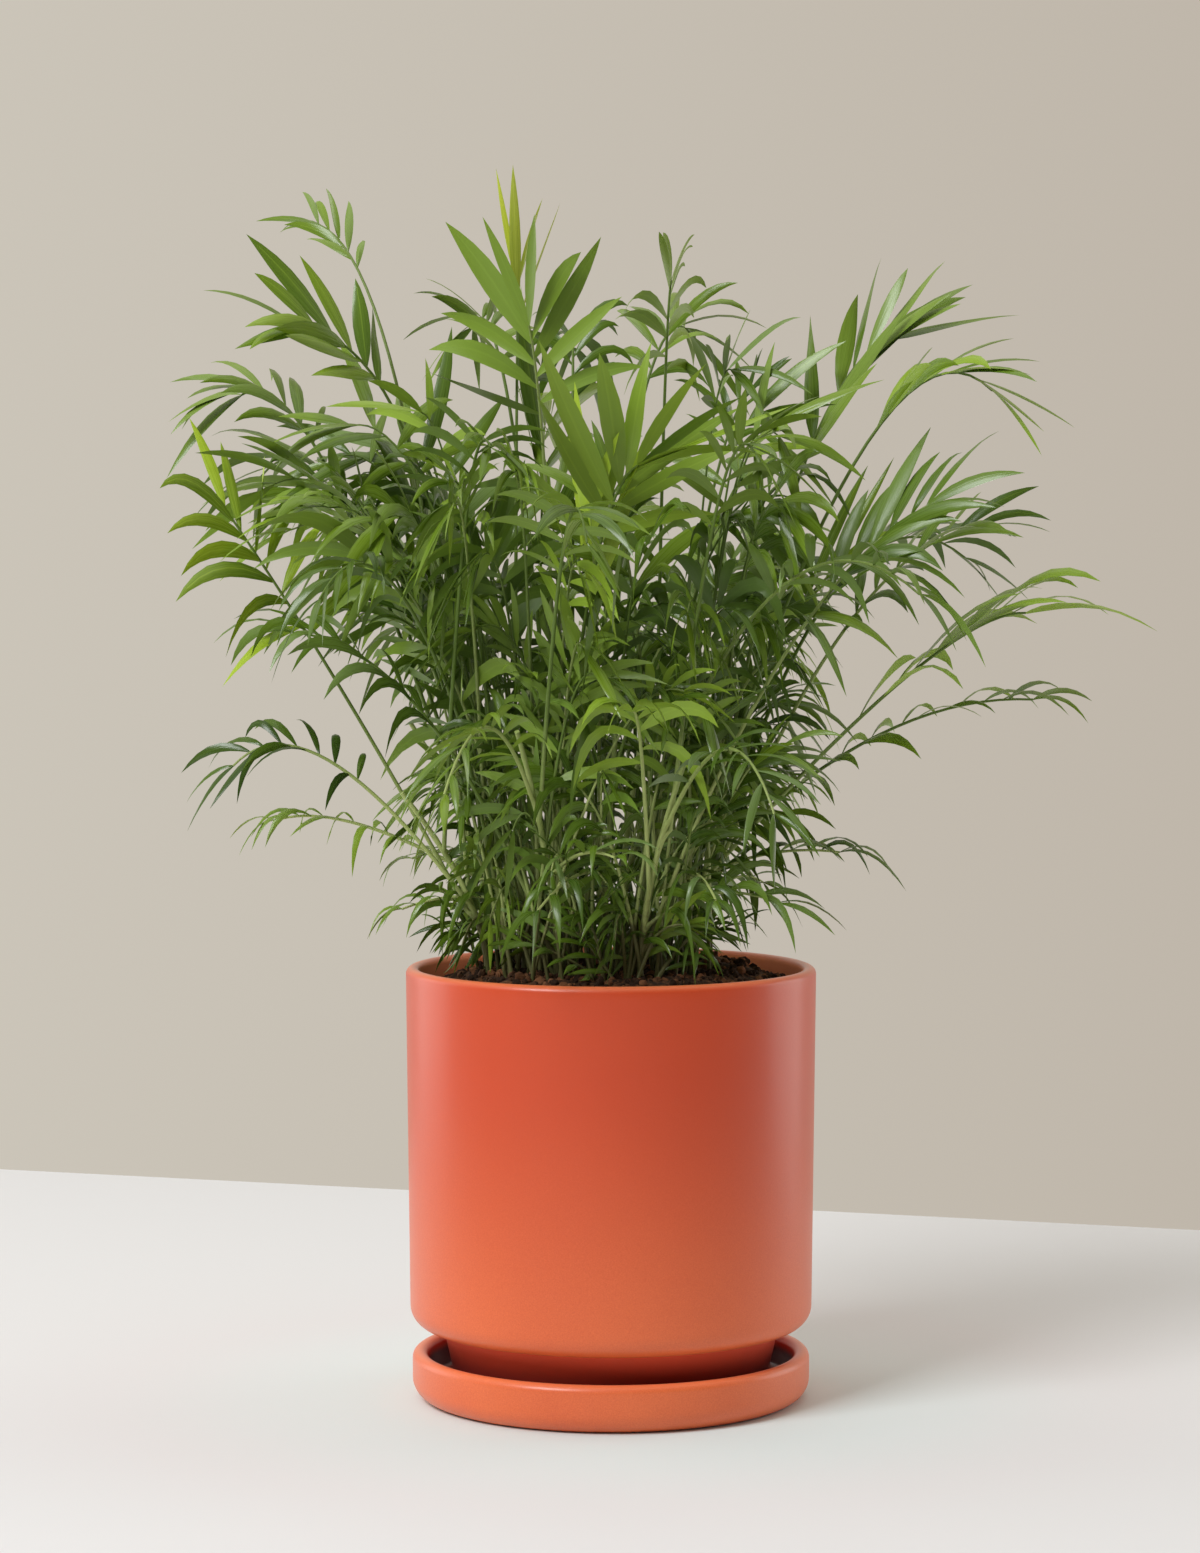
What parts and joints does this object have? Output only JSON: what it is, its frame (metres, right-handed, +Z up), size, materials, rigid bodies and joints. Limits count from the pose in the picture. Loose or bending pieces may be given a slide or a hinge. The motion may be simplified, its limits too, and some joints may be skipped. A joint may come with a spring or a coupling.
{
  "type": "potted parlour palm",
  "caption": "Clump of young feather palms with arching green fronds, in a straight round matt orange pot that stands in its own saucer.",
  "frame": {"origin": "centre of the saucer's flat underside, on the pot's axis", "axes": "+Z up along the pot's axis, -Y towards the viewer of the plant's front, +X to that viewer's right"},
  "size_m": [0.6049, 0.5773, 0.7679],
  "materials": {
    "matt_orange_glaze": "matt orange glaze with a fine grain, over stoneware",
    "potting_mix": "dark crumbly potting mix",
    "cane_green": "smooth pale green cane with narrow rings",
    "leaf_green": "thin leaf with a soft gloss and a pale midrib"
  },
  "bodies": {
    "root": {"cane_01": "cane_green", "cane_02": "cane_green", "cane_03": "cane_green", "cane_04": "cane_green", "cane_05": "cane_green", "cane_06": "cane_green", "cane_07": "cane_green", "cane_08": "cane_green", "cane_09": "cane_green", "cane_10": "cane_green", "cane_11": "cane_green", "cane_12": "cane_green", "cane_13": "cane_green", "frond_back_high_1": "leaf_green", "frond_back_high_2": "leaf_green", "frond_back_high_3": "leaf_green", "frond_back_low_1": "leaf_green", "frond_back_low_2": "leaf_green", "frond_back_low_3": "leaf_green", "frond_back_middle_1": "leaf_green", "frond_back_middle_2": "leaf_green", "frond_back_middle_3": "leaf_green", "frond_back_right_high": "leaf_green", "frond_centre_left_light": "leaf_green", "frond_centre_light": "leaf_green", "frond_front_foot_left": "leaf_green", "frond_front_foot_right": "leaf_green", "frond_front_high_1": "leaf_green", "frond_front_high_2": "leaf_green", "frond_front_light": "leaf_green", "frond_front_low": "leaf_green", "frond_front_low_1": "leaf_green", "frond_front_low_2": "leaf_green", "frond_front_middle_1": "leaf_green", "frond_front_middle_2": "leaf_green", "frond_front_middle_3": "leaf_green", "frond_left_droop": "leaf_green", "frond_left_far_high": "leaf_green", "frond_left_foot": "leaf_green", "frond_left_foot_back": "leaf_green", "frond_left_high": "leaf_green", "frond_left_low_dark": "leaf_green", "frond_left_low_thin": "leaf_green", "frond_left_middle": "leaf_green", "frond_left_upper_arch": "leaf_green", "frond_right_fan": "leaf_green", "frond_right_fan_low": "leaf_green", "frond_right_far_arch": "leaf_green", "frond_right_folded": "leaf_green", "frond_right_foot": "leaf_green", "frond_right_foot_front": "leaf_green", "frond_right_high": "leaf_green", "frond_right_low_arch": "leaf_green", "frond_right_second": "leaf_green", "frond_spear": "leaf_green", "frond_top_fan": "leaf_green", "frond_top_right": "leaf_green", "pot": "matt_orange_glaze", "saucer": "matt_orange_glaze", "soil": "potting_mix"}
  },
  "joints": []
}
